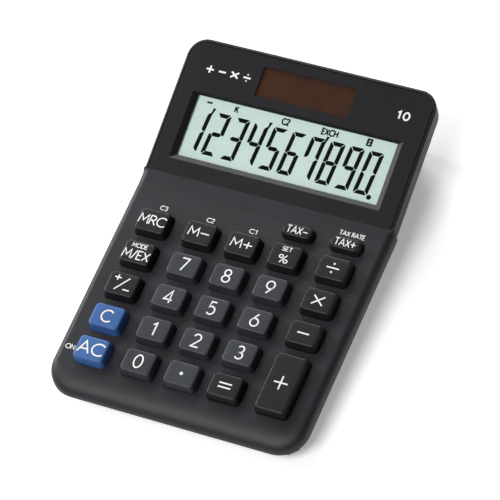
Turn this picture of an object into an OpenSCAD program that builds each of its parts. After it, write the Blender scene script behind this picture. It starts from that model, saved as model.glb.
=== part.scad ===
// Desk calculator: a thin bent case with a tilted display section and 26 travelling keys.
// Origin: centre of the footprint, on the table. X to the right, Y to the back, Z up.
// Keypad pieces are drawn in the keypad's own frame, display pieces in the display's own frame:
// local x to the right, local y up the slope, local z out of the face, from the crease line.

/* [Case] */
// Width of the keypad body
body_w = 103; // [103:1:130]
// Depth, front edge to back edge
body_d = 146.6; // [145:0.2:180]
// Height that the display face reaches at the back edge, before that edge is rounded
body_h = 29.5; // [28:0.5:36]
// Height of the keypad plane where it meets the front edge
front_h = 10; // [9.6:0.1:12]
// Height of the display panel's front edge
crease_h = 15.5; // [15:0.1:18]
// How far the display panel's front edge stands above the keypad plane
crease_step = 0.7; // [0.4:0.1:1]
// Depth of the display section in plan
display_d = 52.6; // [52:0.2:58]
// How much narrower the display section is, on each side
display_inset = 0.7; // [0.3:0.1:1]
// Wall of the upper case
case_t = 1.8; // [1.5:0.1:2]
// Depth of the skirt below the top faces
skirt = 5.2; // [5:0.1:6.5]
// Radius of the front corners in plan
front_r = 11; // [8:0.5:13]
// Radius of the back corners in plan
back_r = 7.5; // [5:0.5:9]
// Length of the rolled front edge
front_roll = 9; // [7:0.5:10]
// Radius of the rolled side edges of the keypad
side_roll = 3; // [2.5:0.1:4]
// Length of the concave sweep in front of the display panel
sweep_l = 7; // [4:0.5:7.5]

/* [Lower case] */
// How far the lower case is set in from the skirt
rim_inset = 1; // [0.8:0.1:1.2]
// Slope of the lower case's side walls from the vertical, in degrees
tuck = 32; // [29:1:36]
// Wall of the lower case
lower_t = 1.8; // [1.5:0.1:2]
// Floor of the lower case
floor_t = 1.6; // [1.4:0.1:1.8]
// Height of the lip that stands inside the skirt
lip_h = 1.2; // [0.8:0.1:1.4]
// Clearance round the lip
lip_gap = 0.15; // [0.1:0.05:0.2]

/* [Keys] */
// Width of a keycap where it leaves the case
key_w = 12.9; // [11:0.1:13.2]
// Depth of a keycap where it leaves the case
key_d = 10.2; // [9:0.1:10.6]
// Height of a keycap above the keypad
key_h = 4; // [3:0.1:4.5]
// Height of the two low pill keys
pill_h = 3; // [2.5:0.1:3.5]
// Depth of the two low pill keys
pill_d = 5.9; // [5.5:0.1:6.2]
// Draft of a keycap's walls over its height
key_draft = 0.4; // [0.2:0.05:0.5]
// Corner radius of a keycap
key_r = 1.7; // [1:0.1:2]
// Corner radius of the pill keys
pill_r = 2.5; // [1.5:0.1:2.7]
// Distance between the three middle columns
column_pitch = 17.4; // [17:0.1:18]
// Distance from the centre to the two outer columns
outer_column = 36.6; // [36.4:0.1:36.8]
// Distance between rows
row_pitch = 13.9; // [13.4:0.1:14]
// Distance from the crease to the first full row
first_row = 22; // [21.5:0.1:23]
// Distance from the crease to the pill row
pill_row = 10.6; // [10:0.1:11]
// Clearance round a keycap in its hole
key_gap = 0.25; // [0.2:0.05:0.3]
// Lip of the flange that keeps a keycap in the case
flange_lip = 0.6; // [0.5:0.1:0.7]
// Thickness of the flange
flange_t = 0.8; // [0.6:0.1:1]
// Travel of a key, by which its rubber dome gives way
travel = 1.2; // [0.8:0.1:1.3]
// Thickness of a keycap's top
cap_t = 1.4; // [1:0.1:1.8]
// Wall of a keycap
cap_wall = 1.1; // [0.9:0.1:1.2]

/* [Board] */
// Half width of the circuit board
board_half_w = 43.5; // [42:0.5:43.5]
// Thickness of the circuit board
board_t = 1.2; // [1:0.1:1.6]
// Thickness of the rubber sheet between its domes
sheet_t = 0.6; // [0.5:0.1:0.8]
// Height that a rubber dome keeps when its key is fully down
dome_rest = 0.55; // [0.45:0.05:0.7]
// Radius of a dome at its foot
dome_r = 3.6; // [3.2:0.1:3.8]
// Radius of a dome at its top
dome_top_r = 2.6; // [2.4:0.1:3]
// Radius of a keycap's plunger
plunger_r = 2.2; // [1.8:0.1:2.5]

/* [Display] */
// Thickness of the display panel
panel_t = 2; // [1.8:0.1:2.2]
// Rim of the display section left outside the panel
panel_rim = 1; // [0.8:0.1:1.3]
// Edge chamfer of the display panel
panel_chamfer = 0.4; // [0.2:0.1:0.6]
// Width of the display opening at the bottom of its bevel
view_w = 81.4; // [70:0.2:84]
// Height of the display opening at the bottom of its bevel
view_h = 24.4; // [20:0.2:25]
// Distance from the crease to the display opening's centre
view_v = 20.2; // [19.5:0.1:21]
// Depth of the bevel round the display opening
bevel_depth = 1.2; // [0.9:0.1:1.3]
// Width of the bevel at the sides
bevel_side = 2.2; // [1.5:0.1:2.6]
// Width of the bevel at the front
bevel_front = 2; // [1.5:0.1:2.4]
// Width of the bevel at the back
bevel_back = 0.9; // [0.6:0.1:1.4]
// Width of the solar opening
solar_w = 38; // [30:0.5:40]
// Height of the solar opening
solar_h = 11.8; // [9:0.2:12]
// Distance from the crease to the solar opening's centre
solar_v = 42.8; // [42:0.1:43.4]
// Thickness of the display glass
glass_t = 2.2; // [1.8:0.1:2.4]
// How far the display glass reaches behind the panel on each side
glass_lap = 2.3; // [1.8:0.1:2.6]
// Thickness of the solar cell
cell_t = 1; // [0.8:0.1:1.1]
// How far the solar cell reaches behind the panel on each side
cell_lap = 1.3; // [1:0.1:1.6]

/* [Fasteners, battery and feet] */
// Shank radius of the case and cover screws
screw_r = 1; // [0.9:0.05:1.1]
// Head radius of the case and cover screws
head_r = 1.9; // [1.7:0.05:1.95]
// Head height of the case and cover screws
head_h = 1.4; // [1.2:0.1:1.6]
// Shank radius of the small board screws
small_screw_r = 0.8; // [0.7:0.05:0.85]
// Radius of the screw bosses
boss_r = 2.6; // [2.5:0.05:2.7]
// Radius of the button cell
cell_r = 5.8; // [4.8:0.1:5.9]
// Thickness of the button cell
cell_h = 5.4; // [3:0.1:5.4]
// Width of the battery cover
cover_w = 26; // [24:0.5:30]
// Depth of the battery cover
cover_d = 17; // [16:0.5:20]
// Radius of a rubber foot
foot_r = 4; // [3:0.1:4.2]
// How far the feet stand out below the lower case
foot_h = 1; // [0.8:0.1:1.2]
// Depth of the seats that the feet are glued into
foot_seat = 0.5; // [0.3:0.1:0.6]

/* [Hidden] */
$fn = 40;

case_black = "#2e2e33";
panel_black = "#202024";
key_black = "#2b2a2e";
key_grey = "#4a4c52";
key_blue = "#4f70b0";
contact_steel = "#b9bcc0";
wire_red = "#b03028";
board_green = "#2f6b45";

// Cutters reach this far past the faces that they cut.
past = 1;
// Far enough to pass through the whole body.
far = 300;

// Height above the skirt's rim at which the rolled front edge starts.
front_lift = 0.6;

// The bent top: two planes that meet at the crease.
crease_y = body_d / 2 - display_d;
keypad_top = crease_h - crease_step;
keypad_l = crease_y + body_d / 2;
keypad_tilt = atan((keypad_top - front_h) / keypad_l);
display_tilt = atan((body_h - crease_h) / display_d);
display_l = display_d / cos(display_tilt);
display_half_w = body_w / 2 - display_inset;

// Levels below the keypad face, along its normal.
play = 0.05;
flange_top = -case_t - play;
flange_bottom = flange_top - flange_t;
plunger_bottom = flange_bottom - 0.55;
dome_top = plunger_bottom - play;
dome_h = dome_rest + travel;
sheet_top = dome_top - dome_h;
board_top = sheet_top - sheet_t;
board_bottom = board_top - board_t;

// The board and sheet, in the keypad's frame.
board_back = -3;
board_front = -(first_row + 4 * row_pitch + key_d / 2 + 3);
sheet_back = -6.5;
sheet_front = board_front + 1;
board_boss_r = 2;
board_boss_x = (outer_column + column_pitch) / 2;
board_boss_rows = [0.5, 2.5];
board_boss_play = 0.3;
pilot_gap = 0.02;
small_head_r = 1.7;
small_head_h = 0.9;
small_screw_l = 3.8;

// Levels below the display face, along its normal.
housing_floor_t = 1.4;
housing_bottom = -panel_t - housing_floor_t;
panel_play = 0.05;
panel_half_w = display_half_w - panel_rim;
panel_back = display_l - panel_rim - 0.4;
panel_r = back_r - panel_rim;
window_t = panel_t - bevel_depth;
window_lap = 1.3;
window_play = 0.1;
glass_top = -panel_t - play;
glass_bottom = glass_top - glass_t;
reflector_t = 0.2;
reflector_bottom = glass_bottom - reflector_t;
holder_t = 1.2;
holder_wall = 1.5;
holder_play = 0.2;
holder_top = reflector_bottom - play;
holder_bottom = holder_top - holder_t;
glass_w = view_w + 2 * glass_lap;
glass_h = view_h + 2 * glass_lap;
holder_w = glass_w + 2 * (holder_play + holder_wall);
holder_h = glass_h + 2 * (holder_play + holder_wall);
ear_r = 2.6;
ear_x = holder_w / 2 - 8;
ear_v = holder_h / 2 + 0.6;
ear_screw_l = 3;

// The solar cell lies in a rebate under the panel, on a foam pad.
pad_t = 0.4;
cell_bottom = -panel_t + pad_t;
cell_top = cell_bottom + cell_t;
solar_cell_w = solar_w + 2 * cell_lap;
solar_cell_h = solar_h + 2 * cell_lap;
lead_r = 0.5;
lead_x = 3;
lead_hole_r = 1;
lead_v = solar_v - 1.5;
lead_level = holder_bottom - 1.2;

// Lower case levels.
tuck_run = tan(tuck);
floor_top = foot_h + floor_t;
rim_front = front_h - skirt;
rim_crease = keypad_top - skirt;
rim_back = body_h - skirt;
back_lean = 6;
slab = 0.02;

// Places in plan of the case screws, feet and battery.
screw_x = body_w / 2 - 4.9;
screw_places = [[screw_x, -body_d / 2 + 14], [screw_x, crease_y - 13], [30, body_d / 2 - 11.5]];
seat_depth = [1.6, 4.6, 8];
split_back = 13;
boss_gap = 0.2;
screw_gap = 0.05;
thread_gap = 0.02;
foot_places = [[body_w / 2 - 13.5, -body_d / 2 + 14], [28, body_d / 2 - 23.5]];
battery_y = body_d / 2 - 23.5;
battery_x = 2.5;
cover_t = 1.4;
cover_gap = 0.15;
cover_screw_x = -8.5;
battery_gap = 0.15;
battery_bottom = foot_h + cover_t + 0.1;
battery_top = battery_bottom + cell_h;
leaf_t = 0.3;
battery_block_h = battery_top + leaf_t + 1.3 - foot_h;

// Height of the keypad plane and of the display plane above the table.
function keypad_z(y) = keypad_top + (y - crease_y) * tan(keypad_tilt);
function display_z(y) = crease_h + (y - crease_y) * tan(display_tilt);
function rim_z(y) = max(keypad_z(y), display_z(y) - crease_step) - skirt;

// A point of the keypad's or the display's frame, as [y, z] in the row frame.
function keypad_point(v, w) = [crease_y + v * cos(keypad_tilt) - w * sin(keypad_tilt),
                               keypad_top + v * sin(keypad_tilt) + w * cos(keypad_tilt)];
function display_point(v, w) = [crease_y + v * cos(display_tilt) - w * sin(display_tilt),
                                crease_h + v * sin(display_tilt) + w * cos(display_tilt)];

// Points along an arc, and round the outline of a rounded rectangle.
function arc(cx, cy, r, from, to, n = 6) =
    [for (i = [0:n]) [cx + r * cos(from + (to - from) * i / n), cy + r * sin(from + (to - from) * i / n)]];
function rounded(w, d, r, n = 3) =
    concat(arc(w / 2 - r, d / 2 - r, r, 0, 90, n), arc(r - w / 2, d / 2 - r, r, 90, 180, n),
           arc(r - w / 2, r - d / 2, r, 180, 270, n), arc(w / 2 - r, r - d / 2, r, 270, 360, n));

// Plan outline of the case, set in by inset.
function plan(inset, front = 0) =
    let (w = body_w / 2 - inset, b = body_d / 2 - inset, f = body_d / 2 - inset - front,
         rf = max(front_r - inset, 1), rb = max(back_r - inset, 1))
    concat(arc(w - rb, b - rb, rb, 0, 90), arc(rb - w, b - rb, rb, 90, 180),
           arc(rf - w, rf - f, rf, 180, 270, 10), arc(w - rf, rf - f, rf, 270, 360, 10));

module keypad_frame() {
    translate([0, crease_y, keypad_top]) rotate([keypad_tilt, 0, 0]) children();
}

module display_frame() {
    translate([0, crease_y, crease_h]) rotate([display_tilt, 0, 0]) children();
}

// A bar along X from an outline given as [y, z] points.
module side_profile(points, width) {
    rotate([90, 0, 90]) translate([0, 0, -width / 2]) linear_extrude(width) polygon(points);
}

// A bar along local y from an outline given as [x, z] points.
module cross_profile(points, from, to) {
    translate([0, to, 0]) rotate([90, 0, 0]) linear_extrude(to - from) polygon(points);
}

// A block with rounded corners, standing on z = low.
module block(w, d, r, low, high) {
    translate([0, 0, low]) linear_extrude(high - low) polygon(rounded(w, d, r));
}

module rod(r, low, high) {
    translate([0, 0, low]) cylinder(r = r, h = high - low);
}

// Everything between the rim of the skirt raised by low and by high.
module rim_band(low, high) {
    side_profile([[-far, rim_front + low - (far - body_d / 2) * tan(keypad_tilt)],
                  [crease_y, rim_crease + low], [body_d / 2, rim_back + low], [far, rim_back + low],
                  [far, rim_back + high], [body_d / 2, rim_back + high], [crease_y, rim_crease + high],
                  [-far, rim_front + high - (far - body_d / 2) * tan(keypad_tilt)]], far);
}

// Outline of the case seen from the side: skirt rim, rolled front and back edge. Its top stays a
// little above the keypad and display planes, which cut it.
function case_side() =
    concat([[body_d / 2, rim_back], [crease_y, rim_crease], [-body_d / 2, rim_front]],
           [for (a = [10:10:90]) [-body_d / 2 + front_roll * (1 - cos(a)),
                                  rim_front + front_lift + (keypad_z(-body_d / 2 + front_roll) + 0.05
                                                            - rim_front - front_lift) * sin(a)]],
           [[crease_y - display_d / 2, crease_h + past], [crease_y, crease_h + past],
            [body_d / 2 - 1.5, body_h + 0.05], [body_d / 2, body_h - 1]]);

// Cross-section of the keypad body and of the display section, with rolled top edges.
function keypad_cross(inset, top, roll) =
    let (w = body_w / 2 - inset)
    concat([[w, -far], [w, top - roll]], arc(w - roll, top - roll, roll, 15, 90, 5),
           arc(roll - w, top - roll, roll, 90, 165, 5), [[-w, top - roll], [-w, -far]]);

module case_outer() {
    intersection() {
        side_profile(case_side(), body_w + 2 * past);
        translate([0, 0, -past]) linear_extrude(body_h + 2 * past) polygon(plan(0));
        union() {
            keypad_frame() cross_profile(keypad_cross(0, 0, side_roll), -far, 3);
            display_frame() cross_profile(keypad_cross(display_inset, 0, 1), 0, far);
        }
    }
    intersection() {
        side_profile([[crease_y - sweep_l, keypad_z(crease_y - sweep_l) - past],
                      for (i = [0:5]) [crease_y - sweep_l * (1 - i / 5),
                                       keypad_z(crease_y - sweep_l * (1 - i / 5))
                                       + 0.95 * crease_step * pow(i / 5, 2)],
                      [crease_y + past, keypad_top + 0.95 * crease_step], [crease_y + past, keypad_top - past]],
                     body_w - 2 * side_roll - 1);
        translate([0, 0, -past]) linear_extrude(body_h + 2 * past) polygon(plan(0));
    }
}

// The space inside the upper case.
module case_inner() {
    intersection() {
        translate([0, 0, -past]) linear_extrude(body_h + 2 * past) polygon(plan(case_t, front_roll / 3));
        union() {
            keypad_frame() cross_profile([[-far, -far], [far, -far], [far, -case_t], [-far, -case_t]], -far, 0);
            display_frame() cross_profile([[-far, -far], [far, -far], [far, housing_bottom],
                                           [-far, housing_bottom]], 0, far);
            side_profile([[crease_y - past, -past], [crease_y + 6, -past],
                          display_point(0, housing_bottom), keypad_point(-past, -case_t)], far);
        }
    }
}

// Columns and rows of the keys, in the keypad's frame.
function column_x(column) = [-outer_column, -column_pitch, 0, column_pitch, outer_column][column];
function row_v(row) = -first_row - row * row_pitch;

// Every key as [x, y, width, depth, corner radius].
key_places = concat(
    [for (row = [0:4], column = [0:4]) if (column < 4 || row < 3)
        [column_x(column), row_v(row), key_w, key_d, key_r]],
    [[column_x(4), row_v(3.5), key_w, key_d + row_pitch, key_r]],
    [for (column = [3, 4]) [column_x(column), -pill_row, key_w, pill_d, pill_r]]);

board_boss_places = [for (s = [-1, 1], row = board_boss_rows) [s * board_boss_x, row_v(row)]];
ear_places = [for (s = [-1, 1], t = [-1, 1]) [s * ear_x, view_v + t * ear_v]];

module upper_case() {
    color(case_black) difference() {
        union() {
            difference() {
                case_outer();
                case_inner();
            }
            for (s = [-1, 1], place = screw_places)
                intersection() {
                    translate([s * place[0], place[1]]) rod(boss_r, split_z(place) + boss_gap, far);
                    case_fill();
                }
            keypad_frame() for (place = board_boss_places)
                translate([place[0], place[1]]) rod(board_boss_r, board_top, -case_t / 2);
            display_frame() for (place = ear_places)
                translate([place[0], place[1]]) rod(ear_r, holder_top, housing_bottom + play);
        }
        display_frame() {
            translate([0, 0, -panel_t]) linear_extrude(panel_t + past) panel_outline(panel_play);
            translate([0, view_v]) block(glass_w + 2 * holder_play, glass_h + 2 * holder_play, 1,
                                         housing_bottom - past, 0);
            for (s = [-1, 1]) translate([s * lead_x, lead_v]) rod(lead_hole_r, housing_bottom - past, 0);
            for (place = ear_places)
                translate([place[0], place[1]])
                    rod(small_screw_r + pilot_gap, holder_top - past, holder_bottom + ear_screw_l + 0.1);
        }
        keypad_frame() {
            for (key = key_places)
                translate([key[0], key[1]])
                    block(key[2] + 2 * key_gap, key[3] + 2 * key_gap, key[4] + key_gap, -case_t - past, past);
            for (place = board_boss_places)
                translate([place[0], place[1]])
                    rod(small_screw_r + pilot_gap, board_top - past, board_bottom + small_screw_l + 0.1);
        }
        for (s = [-1, 1], place = screw_places)
            translate([s * place[0], place[1], 0]) rod(screw_r + thread_gap, 0, split_z(place) + thread_l(place));
    }
}

// The solid that the upper case would be with its cavity and its display recess filled.
module case_fill() {
    intersection() {
        case_outer();
        union() {
            keypad_frame() cross_profile([[-far, -far], [far, -far], [far, -case_t / 2], [-far, -case_t / 2]], -far, 0);
            display_frame() cross_profile([[-far, -far], [far, -far], [far, -panel_t - housing_floor_t / 2],
                                           [-far, -panel_t - housing_floor_t / 2]], 0, far);
        }
    }
    intersection() {
        translate([0, crease_y, 0]) linear_extrude(rim_z(body_d / 2 - back_r))
            square([body_w - 2 * back_r, 2 * display_d - 20], center = true);
        display_frame() cross_profile([[-far, -far], [far, -far], [far, housing_bottom + play],
                                       [-far, housing_bottom + play]], 5, far);
    }
}

// Where the two bosses of a case screw meet, and how far its thread reaches into the upper one.
function split_z(place) = place[1] > crease_y ? split_back : rim_z(place[1]) + lip_h;
function thread_l(place) = place[1] > crease_y ? 6 : 2.6;

module panel_outline(gap) {
    polygon(concat([[panel_half_w + gap, -gap]],
                   arc(panel_half_w - panel_r, panel_back - panel_r, panel_r + gap, 0, 90),
                   arc(panel_r - panel_half_w, panel_back - panel_r, panel_r + gap, 90, 180),
                   [[-panel_half_w - gap, -gap]]));
}

module display_panel() {
    color(panel_black) display_frame() difference() {
        intersection() {
            translate([0, 0, -panel_t]) linear_extrude(panel_t) panel_outline(0);
            cross_profile([[-panel_half_w, -far], [panel_half_w, -far], [panel_half_w, -panel_chamfer],
                           [panel_half_w - panel_chamfer, 0], [panel_chamfer - panel_half_w, 0],
                           [-panel_half_w, -panel_chamfer]], -past, far);
            side_bar([[0, -far], [panel_back, -far], [panel_back, -panel_chamfer],
                      [panel_back - panel_chamfer, 0], [0, 0]]);
        }
        intersection() {
            cross_profile(funnel(view_w / 2, view_w / 2, bevel_side, bevel_side), view_v - view_h, view_v + view_h);
            translate([0, view_v]) side_bar(funnel(view_h / 2, view_h / 2, bevel_front, bevel_back));
        }
        translate([0, view_v]) block(view_w, view_h, 0.6, -panel_t - past, 0);
        translate([0, view_v]) block(view_w + 2 * (window_lap + window_play), view_h + 2 * (window_lap + window_play),
                                     0.6, -panel_t - past, -panel_t + window_t);
        translate([0, solar_v]) {
            block(solar_w, solar_h, 0.5, -panel_t - past, past);
            block(solar_cell_w + 2 * window_play, solar_cell_h + 2 * window_play, 0.5, -panel_t - past, cell_top);
        }
    }
}

// A bar along local x from an outline given as [y, z] points.
module side_bar(points) {
    side_profile(points, body_w + 2 * past);
}

// Section of the bevelled opening: half widths at the bottom and the bevel's run on each side.
function funnel(low, high, low_run, high_run) =
    let (rise = (bevel_depth + past) / bevel_depth)
    [[-low, -bevel_depth], [high, -bevel_depth], [high + high_run * rise, past], [-low - low_run * rise, past]];

module display_window() {
    color("#dfe9ea", 0.3) display_frame() translate([0, view_v])
        block(view_w + 2 * window_lap, view_h + 2 * window_lap, 0.5, -panel_t, -panel_t + window_t);
}

module lcd_panel() {
    color("#d2e4e2") display_frame() translate([0, view_v]) block(glass_w, glass_h, 0.4, glass_bottom, glass_top);
}

module lcd_reflector() {
    color("#c9ced0") display_frame() translate([0, view_v])
        block(glass_w - 2, glass_h - 2, 0.4, reflector_bottom, glass_bottom);
}

module lcd_holder() {
    color("#d8d8d4") display_frame() difference() {
        union() {
            translate([0, view_v]) block(holder_w, holder_h, 1.5, holder_bottom, housing_bottom - play);
            for (place = ear_places) translate([place[0], place[1]]) rod(ear_r, holder_bottom, holder_top);
        }
        translate([0, view_v]) block(glass_w + 2 * holder_play, glass_h + 2 * holder_play, 0.6, holder_top, 0);
        for (place = ear_places) translate([place[0], place[1]]) {
            rod(small_screw_r + 0.15, holder_bottom - past, holder_top + past);
            rod(ear_r + 0.15, holder_top, 0);
        }
        translate([0, view_v - holder_h / 2]) cube([ribbon_w + 2, 2 * (holder_wall + 2), far], center = true);
    }
}

// The ribbon leaves the back of the glass, passes under the crease and ends on the board.
ribbon_w = 56;
ribbon_t = 0.3;

module lcd_ribbon() {
    start = view_v - glass_h / 2;
    color("#b98a3c") side_profile([display_point(start + 1, glass_bottom), display_point(start - 1.2, glass_bottom),
                                   keypad_point(-3.6, board_top + ribbon_t + 0.3),
                                   keypad_point(-3.6, board_top + ribbon_t), keypad_point(-6, board_top + ribbon_t),
                                   keypad_point(-6, board_top), keypad_point(-3.2, board_top),
                                   display_point(start - 1.1, glass_bottom - ribbon_t),
                                   display_point(start + 1, glass_bottom - ribbon_t)], ribbon_w);
}

module solar_cell() {
    color("#45302a") display_frame() translate([0, solar_v])
        block(solar_cell_w, solar_cell_h, 0.3, cell_bottom, cell_top);
}

module solar_pad() {
    color("#3a3a3a") display_frame() difference() {
        translate([0, solar_v]) block(solar_cell_w, solar_cell_h, 0.3, -panel_t, cell_bottom);
        for (s = [-1, 1]) translate([s * lead_x, lead_v]) rod(lead_hole_r, -panel_t - past, 0);
    }
}

// A bent round wire through points, each given as [x, y, z]; the runs overlap a little at each bend.
module wire(points, r) {
    for (i = [1:len(points) - 1]) {
        run = points[i] - points[i - 1];
        low = i == 1 ? 0 : -0.5 * r;
        high = norm(run) + (i == len(points) - 1 ? 0 : 0.5 * r);
        translate(points[i - 1]) rotate([0, acos(run[2] / norm(run)), atan2(run[1], run[0])]) rod(r, low, high);
    }
}

module solar_leads() {
    color(wire_red) for (s = [-1, 1]) {
        top = display_point(lead_v, cell_bottom);
        turn = display_point(lead_v, lead_level);
        low = display_point(8, lead_level);
        end = keypad_point(board_back - 3, board_bottom - lead_r);
        under = keypad_point(board_back + 3, board_bottom - lead_r);
        wire([[s * lead_x, top[0], top[1]], [s * lead_x, turn[0], turn[1]], [s * lead_x, low[0], low[1]],
              [s * lead_x, under[0], under[1]], [s * lead_x, end[0], end[1]]], lead_r);
    }
}

module rubber_key_sheet() {
    color("#8f9296") keypad_frame() difference() {
        union() {
            translate([0, (sheet_back + sheet_front) / 2])
                block(2 * board_half_w - 1, sheet_back - sheet_front, 2, board_top, sheet_top);
            for (key = key_places)
                translate([key[0], key[1], sheet_top]) cylinder(r1 = dome_r, r2 = dome_top_r, h = dome_h);
        }
        for (place = board_boss_places)
            translate([place[0], place[1]]) rod(board_boss_r + board_boss_play, board_top - past, sheet_top + past);
        for (key = key_places)
            translate([key[0], key[1], board_top - past])
                cylinder(r1 = dome_r - 0.6, r2 = dome_top_r - 0.8, h = past + sheet_t + dome_h - 0.9);
    }
}

module circuit_board() {
    color(board_green) keypad_frame() difference() {
        translate([0, (board_back + board_front) / 2])
            block(2 * board_half_w, board_back - board_front, 2, board_bottom, board_top);
        for (place = board_boss_places)
            translate([place[0], place[1]]) rod(small_screw_r + 0.15, board_bottom - past, board_top + past);
    }
}

// A drop of potting over the bare chip, under the board.
module controller_chip() {
    drop_r = 5;
    drop_h = 1.2;
    ball_r = (drop_r * drop_r + drop_h * drop_h) / (2 * drop_h);
    color("#15151a") keypad_frame() translate([0, row_v(1), board_bottom]) intersection() {
        translate([0, 0, ball_r - drop_h]) sphere(r = ball_r, $fn = 96);
        rod(2 * drop_r, -drop_h - past, 0);
    }
}

// Chip capacitors and a regulating diode, in a short row under the board.
module board_components() {
    color("#8a6a45") keypad_frame() for (i = [0:4])
        translate([-20 + i * 4, row_v(0) + 4]) block(1.6, 3.2, 0.1, board_bottom - 1, board_bottom);
}

module small_screw(seat, length) {
    translate([0, 0, seat - small_head_h]) difference() {
        union() {
            cylinder(r = small_head_r, h = small_head_h);
            translate([0, 0, small_head_h]) cylinder(r = small_screw_r, h = length);
        }
        cross_slot(small_head_r, 0.4);
    }
}

// Cross recess in the underside of a head.
module cross_slot(r, depth) {
    for (a = [0, 90]) rotate([0, 0, a]) cube([1.2 * r, 0.3 * r, 2 * depth], center = true);
}

module board_screws() {
    color(contact_steel) {
        keypad_frame() for (place = board_boss_places)
            translate([place[0], place[1]]) small_screw(board_bottom, small_screw_l);
        display_frame() for (place = ear_places)
            translate([place[0], place[1]]) small_screw(holder_bottom, ear_screw_l);
    }
}

// Half width of the lower case at height z, where its rim is at height rim.
function lower_half(rim, z, inset) = body_w / 2 - inset - (rim - z) * tuck_run;

// One half of the lower case's outer or inner shape, from its rim down to z = low.
module lower_half_body(front, back, inset, low) {
    rim_f = rim_z(front);
    rim_b = rim_z(back);
    end_f = front < crease_y ? front + inset + (rim_f - low) * tuck_run : front;
    end_b = back > crease_y ? back - inset - back_lean : back;
    hull() {
        intersection() {
            linear_extrude(far) polygon(plan(inset));
            translate([0, (front + back) / 2, far / 2]) cube([far, back - front, far], center = true);
            rim_band(-slab, 0);
        }
        translate([0, 0, low]) linear_extrude(slab)
            polygon([[lower_half(rim_f, low, inset) - (front < crease_y ? 3 : 0), end_f],
                     [lower_half(rim_f, low, inset), end_f + (front < crease_y ? 3 : 0)],
                     [lower_half(rim_b, low, inset), end_b],
                     [-lower_half(rim_b, low, inset), end_b],
                     [-lower_half(rim_f, low, inset), end_f + (front < crease_y ? 3 : 0)],
                     [-lower_half(rim_f, low, inset) + (front < crease_y ? 3 : 0), end_f]]);
    }
}

module lower_outer(inset, low) {
    lower_half_body(-body_d / 2, crease_y, inset, low);
    lower_half_body(crease_y, body_d / 2, inset, low);
}

module lower_case() {
    color("#26262a") difference() {
        union() {
            lower_outer(rim_inset, foot_h);
            intersection() {
                difference() {
                    linear_extrude(far) polygon(plan(case_t + lip_gap, front_roll / 3));
                    translate([0, 0, -past]) linear_extrude(far)
                        polygon(plan(rim_inset + lower_t, front_roll / 3 + case_t + lip_gap - rim_inset));
                }
                union() {
                    rim_band(-0.5, lip_h);
                    translate([0, -body_d / 2, foot_h + floor_t / 2]) linear_extrude(rim_front - foot_h)
                        square([body_w - 2 * front_r, 4 * front_roll], center = true);
                }
            }
            for (s = [-1, 1], place = screw_places) if (place[1] < crease_y)
                translate([s * place[0], place[1], 0]) rod(boss_r, rim_z(place[1]) - past, split_z(place));
        }
        difference() {
            lower_outer(rim_inset + lower_t, floor_top);
            for (s = [-1, 1], place = screw_places)
                translate([s * place[0], place[1], 0]) rod(boss_r, 0, split_z(place));
            translate([0, battery_y, 0]) linear_extrude(foot_h + battery_block_h)
                square([cover_w + 4, cover_d + 4], center = true);
        }
        for (s = [-1, 1], i = [0:len(screw_places) - 1])
            translate([s * screw_places[i][0], screw_places[i][1], 0]) {
                rod(head_r + 0.1, 0, foot_h + seat_depth[i]);
                rod(screw_r + screw_gap, 0, far);
            }
        for (s = [-1, 1], place = foot_places)
            translate([s * place[0], place[1], 0]) rod(foot_r, 0, foot_h + foot_seat);
        battery_space();
    }
}

module battery_space() {
    translate([0, battery_y, 0]) {
        block(cover_w + 2 * cover_gap, cover_d + 2 * cover_gap, 1, 0, foot_h + cover_t);
        translate([battery_x, 0]) rod(cell_r + battery_gap, foot_h, battery_top + leaf_t);
        translate([cover_screw_x, 0]) rod(screw_r + thread_gap, foot_h, foot_h + 6);
        translate([battery_x + cell_r + battery_gap - 0.2, -2.1, battery_bottom]) cube([1.2, 4.2, far]);
        translate([battery_x - 1.6, -0.6, battery_top]) cube([3.2, 1.2, far]);
    }
}

module battery_cover() {
    color("#26262a") translate([0, battery_y, 0]) difference() {
        block(cover_w, cover_d, 1 - cover_gap, foot_h, foot_h + cover_t);
        translate([cover_screw_x, 0]) {
            rod(screw_r + 0.1, 0, far);
            rod(head_r + 0.1, 0, foot_h + 0.7);
        }
    }
}

// A pan head screw whose head's upper face is at z = seat.
module case_screw(seat, head, length) {
    translate([0, 0, seat - head]) difference() {
        union() {
            cylinder(r = head_r, h = head);
            translate([0, 0, head]) cylinder(r = screw_r, h = length);
        }
        cross_slot(head_r, 0.4);
    }
}

module battery_cover_screw() {
    color(contact_steel) translate([cover_screw_x, battery_y, 0]) case_screw(foot_h + 0.7, 0.6, 5);
}

module button_cell() {
    edge = 0.3;
    color("#c8cbce") translate([battery_x, battery_y, battery_bottom]) rotate_extrude()
        polygon([[0, 0], [cell_r - edge, 0], [cell_r, edge], [cell_r, cell_h - 1], [cell_r - 1, cell_h - edge],
                 [cell_r - 1, cell_h], [0, cell_h]]);
}

// A strip up the side of the cell, through the roof of its compartment.
module battery_contact_positive() {
    color(contact_steel) translate([battery_x + cell_r + battery_gap + 0.1, battery_y - 2, battery_bottom])
        cube([0.3, 4, cell_h + leaf_t + 2.6]);
}

// A leaf over the cell, with a tongue through the roof of its compartment.
module battery_contact_negative() {
    color(contact_steel) translate([battery_x, battery_y, battery_top]) {
        rod(3.2, 0, leaf_t);
        translate([-1.5, -0.15, 0]) cube([3, leaf_t, leaf_t + 2.4]);
    }
}

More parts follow.
